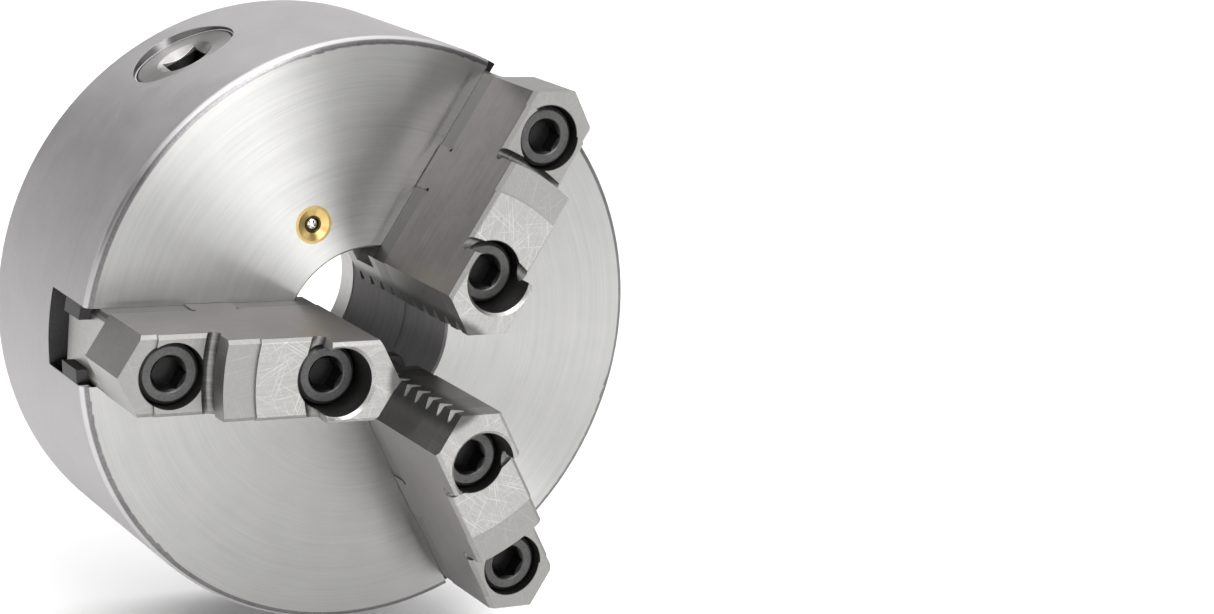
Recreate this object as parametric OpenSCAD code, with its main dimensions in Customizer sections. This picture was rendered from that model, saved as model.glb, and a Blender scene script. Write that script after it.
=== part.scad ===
// Three-jaw self-centring scroll chuck for a lathe.
// Outside frame: the chuck axis is Y, the rear face is the plane y = 0 and the jaws face -Y, Z is up.
// Every module is drawn in a working frame whose z axis is the chuck axis, 0 at the rear face
// and growing towards the jaws; to_outside() turns it into the outside frame.

/* [Body] */
// Outside diameter of the body
body_d = 160; // [150:1:170]
// Length of the body from rear face to front face
body_l = 65; // [65:0.5:70]
// Radius of the rounded front rim
rim_r = 2.4; // [1:0.1:4]
// Chamfer at the rear edge of the body
rear_chamfer = 1.6; // [0.5:0.1:2.5]
// Diameter of the through bore
bore_d = 47; // [40:0.5:47]
// Diameter of the register recess in the rear face
register_d = 130; // [129:0.5:132]
// Pitch circle of the three tapped holes in the rear face
mount_pcd = 142; // [141:0.5:146]
// Diameter of the tapped holes in the rear face
mount_hole_d = 8; // [6:0.5:8]

/* [Jaw slots] */
// Width of a jaw slot
slot_w = 20.5; // [19:0.5:21]
// Width between the two guide ribs of a slot
neck_w = 13.1; // [12.6:0.1:14]
// Running clearance on each side of a base jaw
jaw_gap = 0.05; // [0.02:0.01:0.1]

/* [Scroll] */
// Radial step of the scroll thread for one turn
lead = 8; // [8:1:8]
// Width of the scroll thread
thread_w = 3.6; // [3.2:0.1:3.8]
// Teeth on the bevel gear behind the scroll
gear_teeth = 60; // [60:1:60]
// Teeth on each pinion
pinion_teeth = 12; // [12:1:12]
// Diameter of a pinion journal
journal_d = 28; // [27.6:0.1:28]
// Width across the flats of the key socket
key_w = 10; // [8:0.5:11]

/* [Jaws] */
// Width of a top jaw
top_w = 21; // [20:0.5:22]
// Distance from the chuck axis to the jaw noses
nose_s = 12.3; // [12.3:0.1:14]
// Distance from the chuck axis to the outer point of a top jaw
tail_s = 81.5; // [80.5:0.5:83]
// Height of the innermost step above the front face
step_3 = 44; // [43:0.5:46]
// Height of the middle step above the front face
step_2 = 37; // [36:0.5:38]
// Height of the outer step above the front face
step_1 = 28.5; // [28:0.5:29.5]
// Pitch of the grip grooves across the nose
grip_pitch = 6.2; // [5:0.1:7]

/* [Oiler] */
// Diameter of the brass oiler cup
cup_d = 10.2; // [9:0.1:11]
// Diameter of the oiler ball
ball_d = 4; // [3.6:0.1:4]

/* [Hidden] */
$fn = 96;

eps = 0.01;
body_r = body_d / 2;
bore_r = bore_d / 2;
front_bore_r = bore_r + 0.3;
register_r = register_d / 2;

// Directions of the three jaws, and of the three pinions between them, seen from the front
jaw_angles = [180, 60, 300];
pinion_angles = [120, 0, 240];

// Levels along the chuck axis
register_depth = 5;
hub_rear_z = 8;
cover_front_z = 13;
slot_floor_z = body_l - 23.8;
bore_step_z = slot_floor_z - 0.7;
tooth_tip_z = slot_floor_z + 0.3;
scroll_root_z = slot_floor_z - 0.2;
scroll_crest_z = scroll_root_z + 5.2;
web_rear_z = scroll_crest_z + 0.4;
rib_rear_z = body_l - 14;
rib_front_z = body_l - 3.7;

// Radii of the scroll chamber
hub_r = 34;
hub_gap = 0.06;
chamber_r = 62;
scroll_r = chamber_r - 0.4;
scroll_hub_r = 40;
cover_r = 63.95;
seat_r = 64;
spigot_r = 36;

// Rear fasteners
cover_screw_s = 29;
cover_screw_r = 2.5;
cover_head_r = 4.25;
cover_head_h = 5;
cover_screw_count = 6;
mount_hole_depth = 18;

// Bevel gear and pinions: the pitch cones meet where the axes cross
pinion_z = 23.3;
gear_r = 60.5;
ratio = gear_teeth / pinion_teeth;
pinion_r = gear_r / ratio;
gear_in_s = 48.6;
gear_cut_s = gear_in_s - 0.5;
tooth_pitch_a = 360 / gear_teeth;
gear_slot_a = 0.65 * tooth_pitch_a;
crest_h = 1.8;
root_h = 2.0;
journal_r = journal_d / 2;
journal_gap = 0.05;
journal_in_s = 62.2;
pinion_face_s = 78;
pinion_gear_s = 61.4;
pinion_small_s = 49;
trunnion_r = 5;
trunnion_end_s = 43.4;
lug_in_s = 42.6;
lug_out_s = 48;
lug_w = 19;
lug_top_z = 30.4;
socket_depth = 14;
socket_mouth_r = 7.9;
socket_mouth_depth = 1.6;
keeper_s = 70;
keeper_r = 3;
keeper_dog_r = 2;
groove_r = 12.6;
groove_w = 4.9;
recess_r = 14.55;

// Base jaws
base_w = slot_w - 2 * jaw_gap;
base_neck_w = neck_w - 2 * jaw_gap;
base_top_z = body_l + 6.5;
base_tail_s = tail_s - 4.8;
tooth_count = 6;
tooth_first_s = 19;
tooth_w = 3.8;
tooth_out_r = 32;
tooth_in_r = 66;
tooth_slope = lead / 360 * 180 / PI / 46;
tooth_len = base_w - 1;

// Cross tongue between base jaw and top jaw
tongue_s = 46.8;
tongue_w = 12.7;
tongue_floor_z = body_l + 0.2;
tongue_gap = 0.04;
tongue_relief = 1.6;

// Steps of a top jaw: outer radius of each ground land, measured from the chuck axis
land_1_r = 72.2;
riser_1_r = 57.2;
land_2_r = 48.9;
riser_2_r = 33;
land_h = 0.8;
edge_chamfer = 1.1;
undercut_r = 1.7;

// Jaw screws, M10 socket head
screw_out_s = 67.4;
screw_in_s = 28.7;
screw_r = 5;
screw_head_r = 8;
screw_head_h = 10;
screw_hex = 8;
cbore_r = 8.6;
head_drop = 2.4;
screw_out_z = body_l + step_1 + land_h - head_drop - screw_head_h;
screw_in_z = body_l + step_2 + land_h - head_drop - screw_head_h;
screw_out_l = 25;
screw_in_l = 35;

// Oiler
oiler_a = 120.5;
oiler_s = 35.2;
cup_r = cup_d / 2;
cup_l = 9;
ball_r = ball_d / 2;
lip_r = ball_r - 0.2;
lip_z = body_l - 1.4;
chamber_oil_r = ball_r + 0.2;
ball_z = lip_z - sqrt(ball_r * ball_r - lip_r * lip_r) - 0.03;
cup_floor_z = body_l - cup_l + 1;
spring_r = 1.35;
spring_wire_r = 0.2;
spring_turns = 5;

// Colours
steel = [0.66, 0.65, 0.65];
ground = [0.80, 0.80, 0.79];
jaw_steel = [0.60, 0.59, 0.60];
black_oxide = [0.12, 0.12, 0.13];
brass = [0.78, 0.62, 0.28];

module to_outside() {
    rotate([90, 0, 0]) children();
}

// Children drawn with x pointing radially outwards at the angle a
module at_angle(a) {
    rotate([0, 0, a]) children();
}

// Children drawn around z are laid along the radial direction, at the pinion height
module along_radius(a) {
    at_angle(a) translate([0, 0, pinion_z]) rotate([0, 90, 0]) children();
}

// A prism whose outline, in tangential t and axial z, runs from radius s1 to radius s2
module radial_prism(s1, s2) {
    translate([s1, 0, 0]) rotate([90, 0, 90]) linear_extrude(s2 - s1) children();
}

// A ring between two radii and two levels
module ring(r1, r2, z1, z2) {
    translate([0, 0, z1]) difference() {
        cylinder(r = r2, h = z2 - z1);
        translate([0, 0, -1]) cylinder(r = r1, h = z2 - z1 + 2);
    }
}

// Section of a jaw slot: wide behind the ribs, narrow between them, wide in front
module slot_section() {
    polygon(slot_outline(slot_w / 2, neck_w / 2, slot_floor_z, body_l + 1, 0));
}

function slot_outline(w, n, z1, z2, g) = [
    [-w, z1], [w, z1], [w, rib_rear_z - g], [n, rib_rear_z - g], [n, rib_front_z + g],
    [w, rib_front_z + g], [w, z2], [-w, z2], [-w, rib_front_z + g],
    [-n, rib_front_z + g], [-n, rib_rear_z - g], [-w, rib_rear_z - g]];

// Hexagon socket to be cut, its mouth at z = 0 and its floor below
module hex_socket(across, depth) {
    translate([0, 0, -depth]) cylinder(r = across / sqrt(3), h = depth + 1, $fn = 6);
    translate([0, 0, -across / 8]) cylinder(r1 = across / 2, r2 = across / 2 + across / 8 + 0.5,
                                            h = across / 8 + 0.5);
}

// Socket head screw: the seat of the head at z = 0, the shank below
module socket_screw(r, head_r, head_h, len, across) {
    difference() {
        union() {
            cylinder(r = head_r, h = head_h - 1);
            translate([0, 0, head_h - 1]) cylinder(r1 = head_r, r2 = head_r - 1, h = 1);
            translate([0, 0, -len + 0.8]) cylinder(r = r, h = len);
            translate([0, 0, -len]) cylinder(r1 = r - 0.8, r2 = r, h = 0.8 + eps);
        }
        translate([0, 0, head_h]) hex_socket(across, head_h * 0.55);
    }
}

// ---------------------------------------------------------------- body

module body_blank() {
    c = rear_chamfer;
    rotate_extrude() difference() {
        union() {
            translate([0, c]) square([body_r, body_l - c - rim_r]);
            translate([0, body_l - rim_r - eps]) square([body_r - rim_r, rim_r + eps]);
            translate([body_r - rim_r, body_l - rim_r]) circle(r = rim_r);
            polygon([[0, 0], [body_r - c, 0], [body_r, c], [body_r, c + eps], [0, c + eps]]);
        }
        translate([-10, -10]) square([10, body_l + 20]);
    }
}

module body_chamber() {
    translate([0, 0, -1]) cylinder(r = bore_r, h = bore_step_z + 2);
    translate([0, 0, bore_step_z]) cylinder(r = front_bore_r, h = body_l);
    translate([0, 0, -1]) cylinder(r = register_r, h = register_depth + 1);
    translate([0, 0, register_depth - eps]) cylinder(r = seat_r, h = hub_rear_z - register_depth + eps);
    ring(hub_r, seat_r, hub_rear_z - eps, cover_front_z);
    ring(hub_r, chamber_r, cover_front_z - eps, web_rear_z);
    // chamfers at the mouth of the bore and at the joint with the cover
    translate([0, 0, body_l - 0.6]) cylinder(r1 = front_bore_r, r2 = front_bore_r + 1, h = 1);
    translate([0, 0, hub_rear_z - eps]) cylinder(r1 = bore_r + 0.4, r2 = bore_r, h = 0.4);
}

module body_bores() {
    for (a = pinion_angles) along_radius(a) {
        translate([0, 0, chamber_r - 5]) cylinder(r = journal_r + journal_gap, h = 30);
        translate([0, 0, pinion_face_s - 0.2]) cylinder(r = recess_r, h = 10);
    }
    for (a = pinion_angles) at_angle(a) translate([keeper_s, 0, -1]) {
        cylinder(r = keeper_r + 0.05, h = 9.2);
        cylinder(r = keeper_dog_r + 0.1, h = pinion_z - journal_r + 2);
    }
    for (a = jaw_angles) at_angle(a) translate([mount_pcd / 2, 0, -1]) {
        cylinder(r = mount_hole_d / 2, h = mount_hole_depth + 1);
    }
    for (i = [0 : cover_screw_count - 1]) {
        at_angle(30 + i * 360 / cover_screw_count) translate([cover_screw_s, 0, hub_rear_z - 1])
            cylinder(r = cover_screw_r + 0.05, h = 15);
    }
    at_angle(oiler_a) translate([oiler_s, 0, 0]) {
        translate([0, 0, body_l - cup_l]) cylinder(r = cup_r + 0.02, h = cup_l + 1);
        translate([0, 0, web_rear_z - 1]) cylinder(r = 1.1, h = 20);
    }
}

module body() {
    color(steel) to_outside() difference() {
        body_blank();
        body_chamber();
        body_bores();
        for (a = jaw_angles) at_angle(a) radial_prism(0, body_r + 5) slot_section();
    }
}

// ---------------------------------------------------------------- rear cover

module cover_lug(a) {
    at_angle(a) translate([lug_in_s, -lug_w / 2, cover_front_z - 1])
        cube([lug_out_s - lug_in_s, lug_w, lug_top_z - cover_front_z + 1]);
}

module rear_cover() {
    color(steel) to_outside() difference() {
        union() {
            ring(bore_r, spigot_r, 0, hub_rear_z);
            ring(hub_r + 0.05, cover_r, register_depth, cover_front_z);
            for (a = pinion_angles) cover_lug(a);
        }
        // room for the pinions, and the bearings of their inner ends
        for (a = pinion_angles) along_radius(a) {
            translate([0, 0, pinion_small_s - 0.6]) cylinder(r = journal_r + 0.4, h = 30);
            translate([0, 0, trunnion_end_s - 5]) cylinder(r = trunnion_r + journal_gap, h = 15);
        }
        for (i = [0 : cover_screw_count - 1]) {
            at_angle(30 + i * 360 / cover_screw_count) translate([cover_screw_s, 0, -1]) {
                cylinder(r = cover_screw_r + 0.15, h = hub_rear_z + 2);
                cylinder(r = cover_head_r + 0.35, h = cover_head_h + 1.3);
            }
        }
        translate([0, 0, hub_rear_z - 0.4]) cylinder(r1 = bore_r, r2 = bore_r + 0.41, h = 0.41);
    }
}

module cover_screws() {
    color(black_oxide) to_outside() for (i = [0 : cover_screw_count - 1]) {
        at_angle(30 + i * 360 / cover_screw_count) translate([cover_screw_s, 0, cover_head_h + 0.3])
            rotate([180, 0, 0]) socket_screw(cover_screw_r, cover_head_r, cover_head_h, 14, 4);
    }
}

// Dog-point screws that enter the grooves of the pinions
module pinion_keepers() {
    dog_z = pinion_z - groove_r - 0.4;
    color(black_oxide) to_outside() for (a = pinion_angles) at_angle(a) translate([keeper_s, 0, 0]) {
        difference() {
            union() {
                translate([0, 0, 1]) cylinder(r = keeper_r, h = 7);
                translate([0, 0, 7]) cylinder(r = keeper_dog_r, h = dog_z - 7);
            }
            translate([0, 0, 1]) rotate([180, 0, 0]) hex_socket(3, 3.5);
        }
    }
}

// ---------------------------------------------------------------- oiler

module at_oiler() {
    to_outside() at_angle(oiler_a) translate([oiler_s, 0, 0]) children();
}

module oiler_cup() {
    color(brass) at_oiler() difference() {
        translate([0, 0, body_l - cup_l]) cylinder(r = cup_r, h = cup_l);
        translate([0, 0, body_l - 0.7]) cylinder(r1 = lip_r + 0.1, r2 = cup_r - 0.7, h = 0.7 + eps);
        translate([0, 0, cup_floor_z]) cylinder(r = chamber_oil_r, h = lip_z - cup_floor_z);
        translate([0, 0, body_l - cup_l - 1]) cylinder(r = 1, h = cup_l);
        translate([0, 0, cup_floor_z + 1]) cylinder(r = lip_r, h = cup_l);
    }
}

module oiler_ball() {
    color(ground) at_oiler() translate([0, 0, ball_z]) sphere(r = ball_r);
}

// Points of a round wire swept along a helix
function spring_ring(u, z1, z2, sides) = [for (k = [0 : sides - 1])
    let (a = 360 * spring_turns * u, b = 360 * k / sides, rr = spring_r + spring_wire_r * cos(b))
    [rr * cos(a), rr * sin(a), z1 + (z2 - z1) * u + spring_wire_r * sin(b)]];

module oiler_spring() {
    sides = 6;
    steps = spring_turns * 14;
    z1 = cup_floor_z + spring_wire_r + 0.05;
    z2 = ball_z - ball_r * 0.74 - spring_wire_r - 0.15;
    rings = [for (i = [0 : steps]) spring_ring(i / steps, z1, z2, sides)];
    points = [for (r = rings) each r];
    walls = [for (i = [0 : steps - 1], k = [0 : sides - 1])
        [i * sides + k, (i + 1) * sides + k, (i + 1) * sides + (k + 1) % sides, i * sides + (k + 1) % sides]];
    start = [[for (k = [0 : sides - 1]) k]];
    end = [[for (k = [sides - 1 : -1 : 0]) steps * sides + k]];
    color(ground) at_oiler() polyhedron(points, concat(start, walls, end));
}

// ---------------------------------------------------------------- scroll

// Levels of the gear's tooth crests and tooth roots at radius s
function crest_z(s) = pinion_z + s / ratio - crest_h * s / gear_r;
function root_z(s) = pinion_z + s / ratio + root_h * s / gear_r;

// The thread is drawn as one strip whose middle line grows by one lead for each turn
spiral_in_s = 36.2;
spiral_turns = (scroll_r - thread_w / 2 - 0.3 - spiral_in_s) / lead;
spiral_steps = round(spiral_turns * 72);

// Turns of the middle line at which the thread of jaw direction 180 sits half a lead from a tooth
spiral_start_a = 180 + 360 * (spiral_in_s - tooth_first_s + lead / 2) / lead;

function spiral_point(i, side) =
    let (u = spiral_turns * i / spiral_steps, a = spiral_start_a + 360 * u,
         r = spiral_in_s + lead * u + side * thread_w / 2)
    [r * cos(a), r * sin(a)];

module scroll_thread() {
    outline = concat([for (i = [0 : spiral_steps]) spiral_point(i, 1)],
                     [for (i = [spiral_steps : -1 : 0]) spiral_point(i, -1)]);
    translate([0, 0, scroll_root_z - eps]) linear_extrude(scroll_crest_z - scroll_root_z + eps)
        polygon(outline);
}

module scroll() {
    r1 = hub_r + hub_gap;
    color(steel) to_outside() {
        difference() {
            rotate_extrude() polygon([[r1, cover_front_z + 0.1], [scroll_hub_r, cover_front_z + 0.1],
                [scroll_hub_r, crest_z(gear_in_s)], [gear_in_s, crest_z(gear_in_s)],
                [scroll_r, crest_z(scroll_r)], [scroll_r, scroll_root_z], [r1, scroll_root_z]]);
            for (i = [0 : gear_teeth - 1]) rotate([0, 0, i * tooth_pitch_a - gear_slot_a / 2])
                rotate_extrude(angle = gear_slot_a) polygon([[gear_cut_s, 25], [scroll_r + 1, 25],
                    [scroll_r + 1, root_z(scroll_r + 1)], [gear_cut_s, root_z(gear_cut_s)]]);
        }
        scroll_thread();
    }
}

// ---------------------------------------------------------------- pinions

// Outline of the pinion's teeth at the large end, with one tooth along +x
pinion_tip_r = pinion_r + 1.65;
pinion_root_r = pinion_r - 2.1;

module pinion_outline() {
    for (i = [0 : pinion_teeth - 1]) rotate(i * 360 / pinion_teeth)
        polygon([[pinion_root_r - 2, -1.7], [pinion_root_r, -1.6], [pinion_r, -1.25], [pinion_tip_r, -0.7],
                 [pinion_tip_r, 0.7], [pinion_r, 1.25], [pinion_root_r, 1.6], [pinion_root_r - 2, 1.7]]);
    circle(r = pinion_root_r, $fn = 48);
}

module pinion(a) {
    taper = pinion_small_s / pinion_gear_s;
    color(jaw_steel) to_outside() along_radius(a) difference() {
        union() {
            // the gear narrows towards the crossing of the axes; its first tooth points to the gear
            translate([0, 0, pinion_gear_s]) rotate([180, 0, 0]) rotate([0, 0, 180])
                linear_extrude(pinion_gear_s - pinion_small_s, scale = taper) pinion_outline();
            translate([0, 0, trunnion_end_s]) cylinder(r = trunnion_r, h = pinion_small_s - trunnion_end_s + 1);
            translate([0, 0, pinion_gear_s - 1]) cylinder(r = pinion_root_r - 0.5, h = 3);
            translate([0, 0, journal_in_s]) cylinder(r = journal_r, h = pinion_face_s - journal_in_s);
        }
        translate([0, 0, keeper_s]) ring(groove_r, journal_r + 1, -groove_w / 2, groove_w / 2);
        translate([-key_w / 2, -key_w / 2, pinion_face_s - socket_depth])
            cube([key_w, key_w, socket_depth + 1]);
        translate([0, 0, pinion_face_s - socket_mouth_depth])
            cylinder(r1 = key_w / 2, r2 = 2 * socket_mouth_r - key_w / 2, h = 2 * socket_mouth_depth);
        translate([0, 0, pinion_face_s - 0.6]) difference() {
            cylinder(r = journal_r + 1, h = 1);
            cylinder(r1 = journal_r, r2 = journal_r - 1, h = 1);
        }
    }
}

// ---------------------------------------------------------------- jaws

// Plan of a jaw: pointed at 120 degrees at the nose and at the tail
module jaw_plan(w, s1, s2) {
    p = w / 2 * tan(30);
    polygon([[s1, 0], [s1 + p, -w / 2], [s2 - p, -w / 2], [s2, 0], [s2 - p, w / 2], [s1 + p, w / 2]]);
}

// Grip grooves that cross the nose, turned around the chuck axis
module grip_grooves(z1, count) {
    for (i = [0 : count - 1]) translate([0, 0, z1 + i * grip_pitch]) rotate_extrude()
        polygon([[nose_s - 2, 0], [nose_s + 1.9, 3.4], [nose_s + 1.9, 4.2], [nose_s - 2, 4.8]]);
}

// One tooth of a base jaw, its middle at radius s; rounder outside than inside so that it
// fits the thread at every radius
module jaw_tooth(s) {
    intersection() {
        translate([s + tooth_w / 2 - tooth_out_r, tooth_slope * tooth_out_r, tooth_tip_z])
            cylinder(r = tooth_out_r, h = web_rear_z - tooth_tip_z + 1);
        difference() {
            translate([s - tooth_w, -tooth_len / 2, tooth_tip_z])
                cube([2 * tooth_w, tooth_len, web_rear_z - tooth_tip_z + 1]);
            translate([s - tooth_w / 2 - tooth_in_r, tooth_slope * tooth_in_r, tooth_tip_z - 1])
                cylinder(r = tooth_in_r, h = web_rear_z - tooth_tip_z + 3);
        }
    }
}

// The teeth of the three jaws follow one thread, so each jaw has its own share of a lead
function tooth_shift(i) = lead * (((jaw_angles[i] - jaw_angles[0] + 360) % 360) / 360);

module base_jaw(i) {
    color(jaw_steel) to_outside() at_angle(jaw_angles[i]) difference() {
        intersection() {
            translate([0, 0, tooth_tip_z]) linear_extrude(base_top_z - tooth_tip_z)
                jaw_plan(base_w, nose_s, tail_s);
            union() {
                radial_prism(0, base_tail_s) polygon(slot_outline(base_w / 2, base_neck_w / 2,
                    web_rear_z, base_top_z, jaw_gap));
                for (k = [0 : tooth_count - 1])
                    jaw_tooth(tooth_first_s + tooth_shift(i) + k * lead);
            }
        }
        translate([tongue_s - tongue_w / 2 - tongue_gap, -base_w, tongue_floor_z])
            cube([tongue_w + 2 * tongue_gap, 2 * base_w, 20]);
        translate([screw_out_s, 0, screw_out_z - screw_out_l - 1]) cylinder(r = screw_r + 0.05, h = 40);
        translate([screw_in_s, 0, screw_in_z - screw_in_l - 1]) cylinder(r = screw_r + 0.05, h = 50);
        grip_grooves(tooth_tip_z + 4, 4);
    }
}

// Section of a top jaw up to the level z, with its two upper edges broken
module jaw_section(z) {
    w = top_w / 2;
    c = edge_chamfer;
    polygon([[-w, base_top_z], [w, base_top_z], [w, z - c], [w - c, z], [c - w, z], [-w, z - c]]);
}

// Everything of a top jaw inside radius r, up to the level z
module jaw_level(r, z) {
    intersection() {
        translate([0, 0, base_top_z]) linear_extrude(z - base_top_z) jaw_plan(top_w, nose_s, tail_s);
        translate([0, 0, base_top_z - 1]) cylinder(r = r, h = z, $fn = 180);
        radial_prism(0, tail_s) jaw_section(z);
    }
}

module step_undercut(r, z) {
    rotate_extrude($fn = 180) translate([r, z]) circle(r = undercut_r, $fn = 32);
}

module top_jaw(i) {
    tongue_in_s = tongue_s - tongue_w / 2;
    z1 = body_l + step_1;
    z2 = body_l + step_2;
    z3 = body_l + step_3;
    color(ground) to_outside() at_angle(jaw_angles[i]) difference() {
        union() {
            jaw_level(tail_s + 5, z1);
            jaw_level(land_1_r, z1 + land_h);
            jaw_level(riser_1_r, z2);
            jaw_level(land_2_r, z2 + land_h);
            jaw_level(riser_2_r, z3);
            translate([tongue_in_s, -top_w / 2, tongue_floor_z + 0.1])
                cube([tongue_w, top_w, base_top_z - tongue_floor_z]);
        }
        step_undercut(riser_1_r + 0.9, z1 + land_h + 0.3);
        step_undercut(riser_2_r + 1.2, z2 + land_h + 0.3);
        // counterbores and clearance holes of the two screws
        translate([screw_out_s, 0, screw_out_z]) cylinder(r = cbore_r, h = 40);
        translate([screw_in_s, 0, screw_in_z]) cylinder(r = cbore_r + 0.3, h = 40);
        translate([screw_in_s, 0, z3 - 0.8]) cylinder(r1 = cbore_r + 0.3, r2 = cbore_r + 1.4, h = 1.1);
        translate([screw_out_s, 0, base_top_z - 1]) cylinder(r = screw_r + 0.5, h = 40);
        translate([screw_in_s, 0, base_top_z - 1]) cylinder(r = screw_r + 0.5, h = 40);
        // relief in the corners beside the cross tongue
        for (s = [tongue_in_s, tongue_in_s + tongue_w]) translate([s, 0, base_top_z]) rotate([90, 0, 0])
            translate([0, 0, -top_w]) cylinder(r = tongue_relief / 2, h = 2 * top_w, $fn = 24);
        grip_grooves(base_top_z - 1.2, 6);
    }
}

module jaw_screws(i) {
    color(black_oxide) to_outside() at_angle(jaw_angles[i]) {
        translate([screw_out_s, 0, screw_out_z])
            socket_screw(screw_r, screw_head_r, screw_head_h, screw_out_l, screw_hex);
        translate([screw_in_s, 0, screw_in_z])
            socket_screw(screw_r, screw_head_r, screw_head_h, screw_in_l, screw_hex);
    }
}

body();
rear_cover();
cover_screws();
pinion_keepers();
oiler_cup();
oiler_spring();
oiler_ball();
scroll();
pinion(pinion_angles[0]);  // pinion_1
pinion(pinion_angles[1]);  // pinion_2
pinion(pinion_angles[2]);  // pinion_3
base_jaw(0);  // base_jaw_1
base_jaw(1);  // base_jaw_2
base_jaw(2);  // base_jaw_3
top_jaw(0);  // top_jaw_1
top_jaw(1);  // top_jaw_2
top_jaw(2);  // top_jaw_3
jaw_screws(0);  // jaw_screws_1
jaw_screws(1);  // jaw_screws_2
jaw_screws(2);  // jaw_screws_3
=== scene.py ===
"""Looks of a three-jaw scroll chuck: materials, rounded edges, floor, lights and camera for the CAD part."""

import math

import bpy
from mathutils import Matrix, Vector

# The chuck, in metres: its axis is Y, the rear face is y = 0 and the jaws face -Y
FACE_Y = -0.065
JAW_ANGLES = {1: 180.0, 2: 60.0, 3: 300.0}
PINION_ANGLES = {1: 120.0, 2: 0.0, 3: 240.0}
PINION_Y = -0.0233
OILER_ANGLE = 120.5
OILER_DISTANCE = 0.0352

# The same, in millimetres: heights are above the front face, distances are from the chuck axis, and the radii
# of sockets, counterbores, undercuts and the ring of painted shade round the ball are from their own middles
RIM_R = 2.4
RIM_IN_R = 77.6
OUTSIDE_R = 79.85
BORE_R = 24.4
SLOT_HALF = 10.35
TOP_HALF = 10.5
BASE_HALF = 10.2
SLOT_DEPTH = 23.9
BASE_END = 76.7
STEP_1 = 28.5
STEP_2 = 37.0
STEP_3 = 44.0
LAND_H = 0.8
LAND_2_R = 48.9
UNDERCUT_1 = (58.1, 29.6)
UNDERCUT_2 = (34.2, 38.1)
UNDERCUT_R = 1.75
SCREW_OUT = 67.4
SCREW_IN = 28.7
BORE_OUT_R = 8.75
BORE_IN_R = 9.05
BORE_CHAMFER = 0.8
HEAD_DROP = 2.4
SOCKET_R = 4.75
KEY_HOLE_R = 7.4
KEY_HOLE_TOP = 76.3
BALL_SHADE_RING = (1.75, 2.35)
NOSE_R = 16.5

# Camera: place in metres, turn from frame to camera as axis times angle, sensor and lens in millimetres
CAMERA_PLACE = (-0.3292, -0.7090, 0.1817)
CAMERA_ROTATION = (1.7750049543613977, -0.4221064973089725, 0.464034203077729)
CAMERA_SENSOR = 36.0
CAMERA_LENS = 82.61

# Edge rounding, in metres and degrees
EDGE = 0.00018
SMALL_EDGE = 0.00015
EDGE_SEGMENTS = 2
EDGE_ANGLE = 28.0
JOIN_DISTANCE = 0.000002
FLAT_ANGLE = 0.4
FLAT_WEIGHT = 80

# The floor is 12.5 mm under the body, so that the lower jaw stays clear of it when it is open
FLOOR_Z = -0.0925
FLOOR_SIZE = 30.0

# Light: the key stands in front, above and a little to the left; the rest is the glow of the room.
# A band is the upward part of the direction, 0 level and 1 straight up, over which a glow fades
AIM = (0.0, -0.05, 0.0)
KEY_PLACE = (-0.10, -1.02, 0.82)
KEY_SIZE = (0.50, 1.40)
KEY_POWER = 18.0
ROOM = 0.035
HORIZON = 0.95
HORIZON_BAND = (0.14, 0.24)
CEILING = 1.85
CEILING_BAND = (0.45, 0.85)
WALL_LEFT = 0.15
WALL_RIGHT = 0.62
FILL_WAY = (-0.75, -0.65, 0.12)
FILL = 1.5


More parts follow.
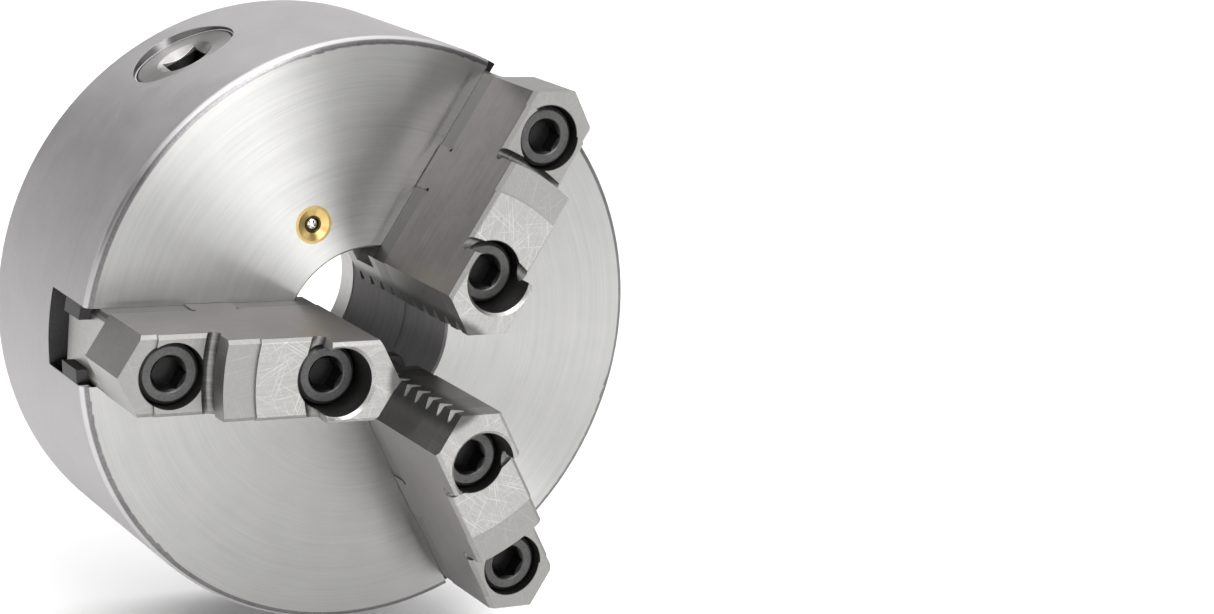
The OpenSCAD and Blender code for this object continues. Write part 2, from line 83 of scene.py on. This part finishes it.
class Net:
    """The node tree of one material, with short calls that make and join its nodes."""

    def __init__(self, name):
        self.material = bpy.data.materials.new(name)
        self.material.use_nodes = True
        self.tree = self.material.node_tree
        self.tree.nodes.clear()
        self.shader = self.add("ShaderNodeBsdfPrincipled")
        output = self.add("ShaderNodeOutputMaterial")
        self.tree.links.new(self.shader.outputs["BSDF"], output.inputs["Surface"])

    def add(self, kind, **settings):
        node = self.tree.nodes.new(kind)
        for key, value in settings.items():
            setattr(node, key, value)
        return node

    def put(self, socket, value):
        """Joins value to the socket, or sets the socket to it if it is a plain number or colour."""
        if isinstance(value, bpy.types.NodeSocket):
            self.tree.links.new(value, socket)
        elif hasattr(value, "__len__") and socket.type == "RGBA" and len(value) == 3:
            socket.default_value = (*value, 1.0)
        else:
            socket.default_value = value

    def set(self, name, value):
        self.put(self.shader.inputs[name], value)

    def math(self, operation, a, b=0.0, c=0.0):
        node = self.add("ShaderNodeMath", operation=operation)
        for socket, value in zip(node.inputs, (a, b, c)):
            self.put(socket, value)
        return node.outputs[0]

    def times(self, a, b):
        return self.math("MULTIPLY", a, b)

    def plus(self, a, b):
        return self.math("ADD", a, b)

    def minus(self, a, b):
        return self.math("SUBTRACT", a, b)

    def vector(self, operation, a, b=(0.0, 0.0, 0.0)):
        node = self.add("ShaderNodeVectorMath", operation=operation)
        self.put(node.inputs[0], a)
        self.put(node.inputs[1], b)
        return node.outputs["Value" if operation in ("LENGTH", "DOT_PRODUCT", "DISTANCE") else "Vector"]

    def scaled(self, vector, factor):
        node = self.add("ShaderNodeVectorMath", operation="SCALE")
        self.put(node.inputs[0], vector)
        self.put(node.inputs["Scale"], factor)
        return node.outputs["Vector"]

    def combine(self, x, y, z):
        node = self.add("ShaderNodeCombineXYZ")
        for socket, value in zip(node.inputs, (x, y, z)):
            self.put(socket, value)
        return node.outputs[0]

    def split(self, vector):
        node = self.add("ShaderNodeSeparateXYZ")
        self.put(node.inputs[0], vector)
        return node.outputs[0], node.outputs[1], node.outputs[2]

    def step(self, value, low, high, out_low=0.0, out_high=1.0):
        """out_low below low, out_high above high, smooth between; low may be the larger number."""
        node = self.add("ShaderNodeMapRange", interpolation_type="SMOOTHSTEP")
        for socket, number in zip(node.inputs, (value, low, high, out_low, out_high)):
            self.put(socket, number)
        return node.outputs[0]

    def inside(self, value, low, high, soft):
        """1 between low and high, 0 outside, with soft edges."""
        return self.times(self.step(value, low - soft, low + soft),
                         self.step(value, high + soft, high - soft))

    def noise(self, vector, scale=1.0, detail=3.0, rough=0.55, w=None):
        """Noise from 0 to 1 with its middle at one half."""
        node = self.add("ShaderNodeTexNoise", noise_dimensions="3D" if w is None else "4D")
        self.put(node.inputs["Vector"], vector)
        self.put(node.inputs["Scale"], scale)
        self.put(node.inputs["Detail"], detail)
        self.put(node.inputs["Roughness"], rough)
        if w is not None:
            self.put(node.inputs["W"], w)
        return node.outputs[0]

    def vary(self, middle, *parts):
        """middle, raised and lowered by each noise of parts: (noise from 0 to 1, how far it may swing)."""
        total = middle
        for noise, swing in parts:
            total = self.plus(total, self.times(self.minus(noise, 0.5), swing))
        return total

    def tint(self, tone, colour):
        """Sets the shader's colour to the grey tone multiplied by colour."""
        self.set("Base Color", self.blend(1.0, self.combine(tone, tone, tone), colour, "MULTIPLY"))

    def mix(self, factor, a, b):
        """a where factor is 0, b where it is 1, for numbers."""
        node = self.add("ShaderNodeMix", data_type="FLOAT")
        for socket, value in zip((node.inputs[0], node.inputs[2], node.inputs[3]), (factor, a, b)):
            self.put(socket, value)
        return node.outputs[0]

    def blend(self, factor, a, b, kind="MIX"):
        """a where factor is 0, b where it is 1, for colours."""
        node = self.add("ShaderNodeMix", data_type="RGBA", blend_type=kind)
        for socket, value in zip((node.inputs[0], node.inputs[6], node.inputs[7]), (factor, a, b)):
            self.put(socket, value)
        return node.outputs[2]

    def facing(self, base, mask, direction):
        """The world normal base, turned to the object direction where mask is 1."""
        node = self.add("ShaderNodeMix", data_type="VECTOR")
        ends = (mask, base, self.to_world(direction))
        for socket, value in zip((node.inputs[0], node.inputs[4], node.inputs[5]), ends):
            self.put(socket, value)
        return self.vector("NORMALIZE", node.outputs[1])

    def bump(self, height, distance, strength=1.0, normal=None):
        node = self.add("ShaderNodeBump")
        self.put(node.inputs["Strength"], strength)
        self.put(node.inputs["Distance"], distance)
        self.put(node.inputs["Height"], height)
        if normal is not None:
            self.put(node.inputs["Normal"], normal)
        return node.outputs[0]

    def object_mm(self):
        """Place on the object in millimetres, in the shared frame at rest."""
        return self.scaled(self.add("ShaderNodeTexCoord").outputs["Object"], 1000.0)

    def to_world(self, vector):
        """A direction on the object turned to the direction it has in the scene."""
        node = self.add("ShaderNodeVectorTransform", vector_type="VECTOR",
                        convert_from="OBJECT", convert_to="WORLD")
        self.put(node.inputs[0], vector)
        return node.outputs[0]


def polar(net, place):
    """Radius from the chuck axis, outward direction, and height above the front face, in millimetres."""
    x, y, z = net.split(place)
    flat = net.combine(x, 0.0, z)
    radius = net.vector("LENGTH", flat)
    height = net.minus(net.times(y, -1.0), -FACE_Y * 1000)
    return radius, net.vector("NORMALIZE", flat), height


def turned(net, radius, outward, height, pitch, length, detail=4.0):
    """Fine lines round an axis: noise quick along the radius and the axis, and slow around."""
    around = net.scaled(outward, 60.0 / length)
    x, _, z = net.split(around)
    return net.noise(net.combine(x, net.times(radius, 1.0 / pitch), z), 1.0, detail, 0.6,
                     net.times(height, 1.0 / pitch))


def slot_shade_mask(net, place, height):
    """1 on the walls and floor of the three jaw slots: the mask of their painted shade."""
    deep_shade = net.inside(height, -SLOT_DEPTH, -0.12, 0.04)
    total = None
    for angle in JAW_ANGLES.values():
        along_dir, across_dir = directions_at(angle)
        along = net.vector("DOT_PRODUCT", place, along_dir)
        across = net.math("ABSOLUTE", net.vector("DOT_PRODUCT", place, across_dir))
        one = net.times(net.step(across, SLOT_HALF + 0.05, SLOT_HALF), net.step(along, 0.0, 1.0))
        total = one if total is None else net.math("MAXIMUM", total, one)
    return net.times(total, deep_shade)


def body_steel():
    """Ground steel body: bright turned face, satin outside; painted shade darkens the milled slots and the
    bore, and the rounded rim has a painted light band and a painted dark band.
    """
    net = Net("body_steel")
    place = net.object_mm()
    radius, outward, height = polar(net, place)
    face = net.step(height, -0.10, -0.02)
    fillet = net.times(net.inside(height, -RIM_R, -0.06, 0.05),
                       net.step(radius, RIM_IN_R - 0.3, RIM_IN_R))
    outside = net.step(radius, OUTSIDE_R - 0.1, OUTSIDE_R)
    rings = turned(net, radius, outward, height, 0.25, 40.0)
    bands = turned(net, radius, outward, height, 2.4, 90.0, 2.0)
    lines = turned(net, radius, outward, height, 0.07, 14.0, 3.0)
    cloud = net.noise(place, 0.035, 3.0, 0.5)
    smudge = net.noise(place, 0.12, 5.0, 0.6)
    speck = net.noise(place, 1.6, 4.0, 0.7)

    face_tone = net.vary(0.40, (rings, 0.12), (bands, 0.10), (lines, 0.16), (smudge, 0.05))
    skin_tone = net.vary(0.36, (speck, 0.06), (rings, 0.08), (lines, 0.07), (cloud, 0.08), (smudge, 0.07))
    inner_tone = net.vary(0.30, (speck, 0.14), (smudge, 0.10))
    tone = net.mix(outside, inner_tone, skin_tone)
    # Painted shade: the slot walls and floors are darkened to near black.
    tone = net.mix(slot_shade_mask(net, place, height), tone, net.vary(0.07, (speck, 0.05)))
    # Painted shade: the bore is darkened below the front face.
    bore_shade = net.times(net.step(radius, BORE_R + 0.1, BORE_R), net.step(height, -0.7, -0.75))
    tone = net.mix(bore_shade, tone, net.vary(0.17, (bands, 0.08), (speck, 0.05)))
    # Painted reflection on the rounded rim: a light band on its outer part and a dark band next to the face.
    rim_painted_light = net.vary(0.50, (rings, 0.10), (smudge, 0.06))
    rim_painted_dark = net.vary(0.17, (speck, 0.20), (smudge, 0.10))
    tone = net.mix(fillet, tone, net.mix(net.step(height, -0.9, -0.5), rim_painted_light, rim_painted_dark))
    tone = net.mix(face, tone, face_tone)
    net.tint(tone, net.blend(face, (1.0, 0.968, 0.980), (1.0, 0.995, 0.975)))
    net.set("Metallic", 1.0)
    rough = net.mix(outside, 0.5, net.vary(0.40, (cloud, 0.10), (smudge, 0.06)))
    rough = net.mix(fillet, rough, 0.33)
    rough = net.mix(face, rough, net.vary(0.37, (bands, 0.08), (rings, 0.06)))
    net.set("Roughness", rough)
    net.set("Anisotropic", 0.98)
    fine = net.noise(place, 9.0, 1.0, 0.5)
    spread = net.times(net.times(net.minus(fine, 0.5), 9.0), outside)
    sideways = net.scaled(net.vector("CROSS_PRODUCT", outward, (0.0, 1.0, 0.0)), spread)
    brushed = net.vector("ADD", net.vector("ADD", outward, (0.0, 1.0, 0.0)), sideways)
    net.set("Tangent", net.to_world(brushed))
    smooth = net.facing(net.add("ShaderNodeNewGeometry").outputs["Normal"], outside, outward)
    roll = net.vector("ADD", net.scaled(outward, net.minus(radius, RIM_IN_R)),
                      net.scaled((0.0, -1.0, 0.0), net.plus(height, RIM_R)))
    smooth = net.facing(smooth, fillet, net.vector("NORMALIZE", roll))
    smooth = net.facing(smooth, face, (0.0, -1.0, 0.0))
    grain = net.bump(net.vary(0.5, (rings, 0.6), (lines, 0.4)), 0.0000025, 1.0, smooth)
    net.set("Normal", net.bump(speck, 0.000003, 1.0, grain))
    return net.material


def directions_at(angle):
    """Frame directions at an angle in degrees: outwards along a jaw or pinion, and across it."""
    a = math.radians(angle)
    return (math.cos(a), 0.0, math.sin(a)), (-math.sin(a), 0.0, math.cos(a))


def jaw_steel(number, kind):
    """Ground jaw steel. kind is top for a top jaw and base for the guide jaw under it."""
    net = Net(f"{kind}_jaw_steel_{number}")
    place = net.object_mm()
    along_dir, across_dir = directions_at(JAW_ANGLES[number])
    along = net.vector("DOT_PRODUCT", place, along_dir)
    across = net.vector("DOT_PRODUCT", place, across_dir)
    radius, _, height = polar(net, place)
    side = net.step(net.math("ABSOLUTE", across), TOP_HALF - 0.2, TOP_HALF - 0.1)
    shift = 37.0 * number

    streak_at = net.combine(net.times(along, 0.05), net.times(across, 2.4),
                            net.times(height, 2.4))
    streak = net.noise(streak_at, 1.0, 5.0, 0.62, shift)
    cloud = net.noise(place, 0.06, 3.0, 0.55, shift)
    smudge = net.noise(place, 0.22, 5.0, 0.62, shift)
    speck = net.noise(place, 1.5, 4.0, 0.7, shift)

    tone = net.vary(0.29, (streak, 0.18), (cloud, 0.10), (smudge, 0.09), (speck, 0.05))
    rough = net.vary(0.38, (streak, 0.12), (smudge, 0.08))
    if kind == "top":
        marks = scratched(net, along, across, number)
        tone, rough = jaw_faces(net, tone, rough, side, radius, height, marks, speck, streak)
        tone, rough = jaw_hollow_shade(net, tone, rough, along, across, radius, height, speck)
    else:
        # Darker where the base jaw shows between the front face and the top jaw, short of its end: partly
        # darker unground steel, partly painted shade in that narrow gap.
        dark_steel_and_shade_strip = net.times(net.step(height, -0.6, -0.4),
                          net.step(along, BASE_END - 0.4, BASE_END - 0.6))
        tone = net.mix(dark_steel_and_shade_strip, net.vary(0.34, (speck, 0.16)), net.vary(0.20, (streak, 0.10), (speck, 0.06)))
    tone = net.mix(side, tone, net.times(tone, 0.86))
    # Painted shade: the nose with its grip grooves is darkened.
    nose_shade = net.step(radius, NOSE_R, NOSE_R - 2.5)
    tone = net.mix(nose_shade, tone, net.vary(0.11, (speck, 0.10), (smudge, 0.05)))
    rough = net.mix(nose_shade, rough, 0.48)
    net.tint(tone, net.blend(side, (1.0, 0.985, 0.955), (1.0, 0.955, 0.945)))
    net.set("Metallic", 1.0)
    net.set("Roughness", rough)
    net.set("Anisotropic", 0.3)
    net.set("Tangent", net.to_world(net.vector("ADD", across_dir, (0.0, 1.0, 0.0))))
    half = TOP_HALF if kind == "top" else BASE_HALF
    wall = net.step(net.math("ABSOLUTE", across), half - 0.12, half - 0.03)
    smooth = net.facing(net.add("ShaderNodeNewGeometry").outputs["Normal"], wall,
                        net.scaled(across_dir, net.math("SIGN", across)))
    grain = net.bump(streak, 0.000006, 1.0, smooth)
    net.set("Normal", net.bump(speck, 0.000005, 1.0, grain))
    return net.material


def jaw_faces(net, tone, rough, side, radius, height, marks, speck, streak):
    """Tone and roughness of a top jaw with its matt outer lands and its bright, scratched inner steps."""
    front = net.minus(1.0, side)
    lands = net.times(net.step(height, STEP_1 - 0.2, STEP_1 - 0.1), front)
    tone = net.mix(lands, tone, net.vary(0.29, (speck, 0.06), (marks, 0.05)))
    rough = net.mix(lands, rough, net.vary(0.46, (speck, 0.06)))
    inner = net.times(net.step(height, STEP_2 + 0.5, STEP_2 + 0.7),
                      net.step(radius, LAND_2_R + 0.1, LAND_2_R))
    bright = net.times(inner, front)
    tone = net.mix(bright, tone, net.vary(0.40, (marks, 0.14), (streak, 0.14), (speck, 0.04)))
    rough = net.mix(bright, rough, net.vary(0.36, (marks, -0.10)))
    return tone, rough


def jaw_hollow_shade(net, tone, rough, along, across, radius, height, speck):
    """Tone and roughness of a top jaw, with painted shade darkening its undercuts and counterbores."""
    for middle_r, middle_h in (UNDERCUT_1, UNDERCUT_2):
        gap = net.combine(net.minus(radius, middle_r), net.minus(height, middle_h), 0.0)
        # Painted shade in the undercut groove, with streaky bands.
        groove_shade = net.step(net.vector("LENGTH", gap), UNDERCUT_R + 0.05, UNDERCUT_R)
        bands = net.noise(net.combine(net.times(across, 0.9), 0.0, 0.0), 1.0, 3.0, 0.6)
        tone = net.mix(groove_shade, tone, net.vary(0.17, (bands, 0.30)))
    outer = (SCREW_OUT, BORE_OUT_R, STEP_1 + LAND_H)
    inner = (SCREW_IN, BORE_IN_R, STEP_3 - BORE_CHAMFER)
    for distance, wide, top in (outer, inner):
        away = net.vector("LENGTH", net.combine(net.minus(along, distance), across, 0.0))
        # Painted shade inside the counterbore.
        shaded_hole = net.times(net.step(away, wide + 0.04, wide), net.step(height, top - 0.1, top - 0.3))
        tone = net.mix(shaded_hole, tone, net.vary(0.10, (speck, 0.08)))
        rough = net.mix(shaded_hole, rough, 0.42)
    return tone, rough


def scratched(net, along, across, number):
    """Fine straight scratches in several directions, 0 to 1."""
    total = None
    for k, turn in enumerate((24.0, -38.0, 66.0, -72.0, 4.0)):
        a = math.radians(turn + 7.0 * number)
        u = net.plus(net.times(along, math.cos(a)), net.times(across, math.sin(a)))
        v = net.minus(net.times(along, math.sin(a)), net.times(across, math.cos(a)))
        at = net.combine(net.times(u, 0.045), net.times(v, 2.6), 5.0 * k)
        lines = net.step(net.noise(at, 1.0, 2.0, 0.6), 0.58, 0.74)
        total = lines if total is None else net.math("MAXIMUM", total, lines)
    return total


def black_oxide():
    """Blackened screw steel with a thin film of oil."""
    net = Net("black_oxide")
    place = net.object_mm()
    speck = net.noise(place, 1.1, 4.0, 0.7)
    cloud = net.noise(place, 0.25, 2.0, 0.5)
    tone = net.vary(0.04, (speck, 0.03))
    net.tint(tone, (1.0, 1.0, 1.03))
    net.set("Metallic", 0.85)
    net.set("Roughness", net.vary(0.40, (cloud, 0.16)))
    net.set("Normal", net.bump(speck, 0.000012))
    return net.material


def screw_steel(number):
    """Blackened jaw screws: stippled and worn on the ring of the head, and blacker in the socket with painted
    shade.
    """
    net = Net(f"screw_steel_{number}")
    place = net.object_mm()
    along_dir, across_dir = directions_at(JAW_ANGLES[number])
    along = net.vector("DOT_PRODUCT", place, along_dir)
    across = net.vector("DOT_PRODUCT", place, across_dir)
    _, _, height = polar(net, place)
    worn = None
    socket = None
    for distance, step in ((SCREW_OUT, STEP_1), (SCREW_IN, STEP_2)):
        top = step + LAND_H - HEAD_DROP
        away = net.vector("LENGTH", net.combine(net.minus(along, distance), across, 0.0))
        ring = net.times(net.inside(away, SOCKET_R, 12.0, 0.05),
                         net.step(height, top - 1.1, top - 0.9))
        ring = net.times(ring, net.step(height, top + 1.0, top + 0.9))
        shaded_hole = net.step(away, SOCKET_R, SOCKET_R - 0.1)
        worn = ring if worn is None else net.math("MAXIMUM", worn, ring)
        socket = shaded_hole if socket is None else net.math("MAXIMUM", socket, shaded_hole)
    speck = net.noise(place, 1.5, 4.0, 0.72)
    cloud = net.noise(place, 0.3, 3.0, 0.55)
    tone = net.mix(worn, 0.045, net.vary(0.088, (speck, 0.11), (cloud, 0.05)))
    # Painted shade: the socket is darker still than the head.
    tone = net.mix(socket, tone, net.vary(0.020, (speck, 0.02)))
    net.tint(tone, (1.0, 0.985, 0.975))
    net.set("Metallic", 0.9)
    net.set("Roughness", net.mix(worn, 0.34, net.vary(0.50, (cloud, 0.10))))
    net.set("Normal", net.bump(speck, 0.00003))
    return net.material


def turned_small(name, colour, axis_place, rough, ball_gap_shade=None):
    """A small turned piece with fine rings round the line along Y through axis_place.

    The last argument is None, or the inner and outer radius of a ring darkened with painted shade.
    """
    net = Net(name)
    place = net.object_mm()
    centred = net.vector("SUBTRACT", place, axis_place)
    radius, outward, height = polar(net, centred)
    rings = turned(net, radius, outward, height, 0.16, 30.0)
    cloud = net.noise(place, 0.6, 3.0, 0.6)
    shade = net.vary(0.86, (rings, 0.45), (cloud, 0.25))
    if ball_gap_shade is not None:
        # Painted shade: a dark ring in the gap round the oiler ball.
        shade = net.mix(net.inside(radius, ball_gap_shade[0], ball_gap_shade[1], 0.08), shade, 0.10)
    net.tint(shade, colour)
    net.set("Metallic", 1.0)
    net.set("Roughness", net.vary(rough, (cloud, 0.12)))
    net.set("Anisotropic", 0.6)
    net.set("Tangent", net.to_world(net.vector("ADD", outward, (0.0, 1.0, 0.0))))
    net.set("Normal", net.bump(rings, 0.000004))
    return net.material


def pinion_steel(number):
    """Turned pinion steel with rings round the pinion's own axis, and painted shade in its key socket."""
    net = Net(f"pinion_steel_{number}")
    place = net.object_mm()
    along_dir, across_dir = directions_at(PINION_ANGLES[number])
    along = net.vector("DOT_PRODUCT", place, along_dir)
    across = net.vector("DOT_PRODUCT", place, across_dir)
    _, y, _ = net.split(place)
    off = net.minus(y, PINION_Y * 1000)
    flat = net.combine(across, off, 0.0)
    radius = net.vector("LENGTH", flat)
    direction = net.vector("NORMALIZE", flat)
    around = net.scaled(direction, 3.0)
    x1, y1, _ = net.split(around)
    at = net.combine(x1, y1, net.times(radius, 3.0))
    rings = net.noise(at, 1.0, 4.0, 0.6, net.times(along, 3.0))
    cloud = net.noise(place, 0.15, 3.0, 0.6)
    speck = net.noise(place, 1.4, 4.0, 0.7)
    tone = net.vary(0.38, (rings, 0.16), (cloud, 0.12))
    # Painted shade: the key socket is darkened.
    deep_shade = net.times(net.step(radius, KEY_HOLE_R, KEY_HOLE_R - 0.4),
                     net.step(along, KEY_HOLE_TOP, KEY_HOLE_TOP - 0.3))
    tone = net.mix(deep_shade, tone, net.vary(0.05, (speck, 0.03)))
    net.tint(tone, (1.0, 0.975, 0.96))
    net.set("Metallic", 1.0)
    net.set("Roughness", net.vary(0.34, (cloud, 0.12)))
    net.set("Anisotropic", 0.75)
    part_across = net.scaled(across_dir, net.vector("DOT_PRODUCT", direction, (1.0, 0.0, 0.0)))
    part_axial = net.scaled((0.0, 1.0, 0.0), net.vector("DOT_PRODUCT", direction, (0.0, 1.0, 0.0)))
    sideways = net.vector("ADD", part_across, part_axial)
    net.set("Tangent", net.to_world(net.vector("ADD", sideways, along_dir)))
    grain = net.bump(rings, 0.000006)
    net.set("Normal", net.bump(speck, 0.000004, 1.0, grain))
    return net.material


def round_edges(piece, width):
    """Joins the CAD triangles into one skin and rounds its sharp edges."""
    weld = piece.modifiers.new("join", "WELD")
    weld.merge_threshold = JOIN_DISTANCE
    flat = piece.modifiers.new("flat", "DECIMATE")
    flat.decimate_type = "DISSOLVE"
    flat.angle_limit = math.radians(FLAT_ANGLE)
    bevel = piece.modifiers.new("edges", "BEVEL")
    bevel.limit_method = "ANGLE"
    bevel.angle_limit = math.radians(EDGE_ANGLE)
    bevel.width = width
    bevel.segments = EDGE_SEGMENTS
    bevel.use_clamp_overlap = True
    bevel.miter_outer = "MITER_ARC"
    even = piece.modifiers.new("even", "WEIGHTED_NORMAL")
    even.mode = "FACE_AREA"
    even.weight = FLAT_WEIGHT


def dress(frame):
    """Gives each CAD node its material, and rounds the edges of the body, the jaws, the jaw screws and the
    pinions.
    """
    nodes = frame["nodes"]
    steel = body_steel()
    black = black_oxide()
    a = math.radians(OILER_ANGLE)
    oiler = (OILER_DISTANCE * 1000 * math.cos(a), 0.0, OILER_DISTANCE * 1000 * math.sin(a))
    brass = turned_small("brass", (0.68, 0.50, 0.20), oiler, 0.30, BALL_SHADE_RING)
    ball = turned_small("ball_steel", (0.80, 0.80, 0.80), oiler, 0.12)
    plain = turned_small("turned_steel", (0.48, 0.47, 0.465), (0.0, 0.0, 0.0), 0.36)
    looks = {"body": steel, "rear_cover": plain, "scroll": plain, "cover_screws": black,
             "pinion_keepers": black, "oiler_cup": brass, "oiler_spring": ball, "oiler_ball": ball}
    for i in (1, 2, 3):
        looks[f"pinion_{i}"] = pinion_steel(i)
        looks[f"base_jaw_{i}"] = jaw_steel(i, "base")
        looks[f"top_jaw_{i}"] = jaw_steel(i, "top")
        looks[f"jaw_screws_{i}"] = screw_steel(i)
    for name, material in looks.items():
        piece = nodes[name]
        piece.data.materials.clear()
        piece.data.materials.append(material)
    round_edges(nodes["body"], EDGE)
    for i in (1, 2, 3):
        round_edges(nodes[f"top_jaw_{i}"], EDGE)
        round_edges(nodes[f"base_jaw_{i}"], EDGE)
        round_edges(nodes[f"jaw_screws_{i}"], SMALL_EDGE)
        round_edges(nodes[f"pinion_{i}"], SMALL_EDGE)


def floor_material():
    """Matt white paper."""
    net = Net("floor_white")
    place = net.add("ShaderNodeTexCoord").outputs["Object"]
    cloud = net.noise(place, 3.0, 2.0, 0.5)
    tone = net.vary(0.92, (cloud, 0.02))
    net.set("Base Color", net.combine(tone, tone, tone))
    net.set("Roughness", 0.8)
    net.set("Specular IOR Level", 0.1)
    return net.material


def floor():
    bpy.ops.mesh.primitive_plane_add(size=FLOOR_SIZE, location=(0.0, 0.0, FLOOR_Z))
    plane = bpy.context.object
    plane.name = "floor"
    plane.data.materials.append(floor_material())


def softbox(name, place, size, power):
    """A rectangular area light of that width and height in metres, turned to the middle of the chuck."""
    data = bpy.data.lights.new(name, "AREA")
    data.shape = "RECTANGLE"
    data.size, data.size_y = size
    data.energy = power
    light = bpy.data.objects.new(name, data)
    bpy.context.scene.collection.objects.link(light)
    light.location = place
    light.rotation_euler = (Vector(AIM) - Vector(place)).to_track_quat("-Z", "Y").to_euler()


class Sky(Net):
    """The node tree of the world."""

    def __init__(self, world):
        self.tree = world.node_tree
        self.tree.nodes.clear()
        self.shader = self.add("ShaderNodeBackground")
        output = self.add("ShaderNodeOutputWorld")
        self.tree.links.new(self.shader.outputs[0], output.inputs["Surface"])


def studio():
    """A studio: pale backdrop all round, dim above it, bright ceiling, grey wall behind, fill on the left."""
    world = bpy.data.worlds.new("studio")
    bpy.context.scene.world = world
    world.use_nodes = True
    net = Sky(world)
    way = net.add("ShaderNodeTexCoord").outputs["Generated"]
    x, y, z = net.split(way)
    ceiling = net.step(z, *CEILING_BAND, 0.0, CEILING)
    wall = net.times(net.step(y, 0.0, 0.5), net.step(x, -0.5, 0.45, WALL_LEFT, WALL_RIGHT))
    fill = net.times(net.step(net.vector("DOT_PRODUCT", way, FILL_WAY), 0.90, 0.99), FILL)
    glow = net.plus(net.plus(ROOM, ceiling), net.plus(wall, fill))
    glow = net.math("MAXIMUM", glow, net.step(z, *HORIZON_BAND, HORIZON, 0.0))
    net.set("Color", net.combine(glow, glow, glow))
    net.set("Strength", 1.0)


def lights():
    softbox("key", KEY_PLACE, KEY_SIZE, KEY_POWER)
    studio()


def camera():
    """The camera of the photograph: where it stands, and how it is turned."""
    data = bpy.data.cameras.new("camera")
    data.sensor_width = CAMERA_SENSOR
    data.lens = CAMERA_LENS
    data.clip_start, data.clip_end = 0.01, 100.0
    turn = Vector(CAMERA_ROTATION)
    to_camera = Matrix.Rotation(turn.length, 3, turn.normalized())
    right, down, forward = to_camera[0], to_camera[1], to_camera[2]
    place = Matrix((right, -Vector(down), -Vector(forward))).transposed().to_4x4()
    place.translation = Vector(CAMERA_PLACE)
    stand = bpy.data.objects.new("camera", data)
    bpy.context.scene.collection.objects.link(stand)
    stand.matrix_world = place
    bpy.context.scene.camera = stand


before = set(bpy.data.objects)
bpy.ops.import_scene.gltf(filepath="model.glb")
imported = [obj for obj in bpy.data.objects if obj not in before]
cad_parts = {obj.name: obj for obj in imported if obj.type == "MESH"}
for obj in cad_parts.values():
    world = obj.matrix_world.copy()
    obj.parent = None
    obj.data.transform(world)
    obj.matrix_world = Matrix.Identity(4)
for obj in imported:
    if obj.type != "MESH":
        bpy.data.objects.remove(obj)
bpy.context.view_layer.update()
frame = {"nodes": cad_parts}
camera()
dress(frame)
floor()
lights()
bpy.context.scene.view_settings.view_transform = "Standard"
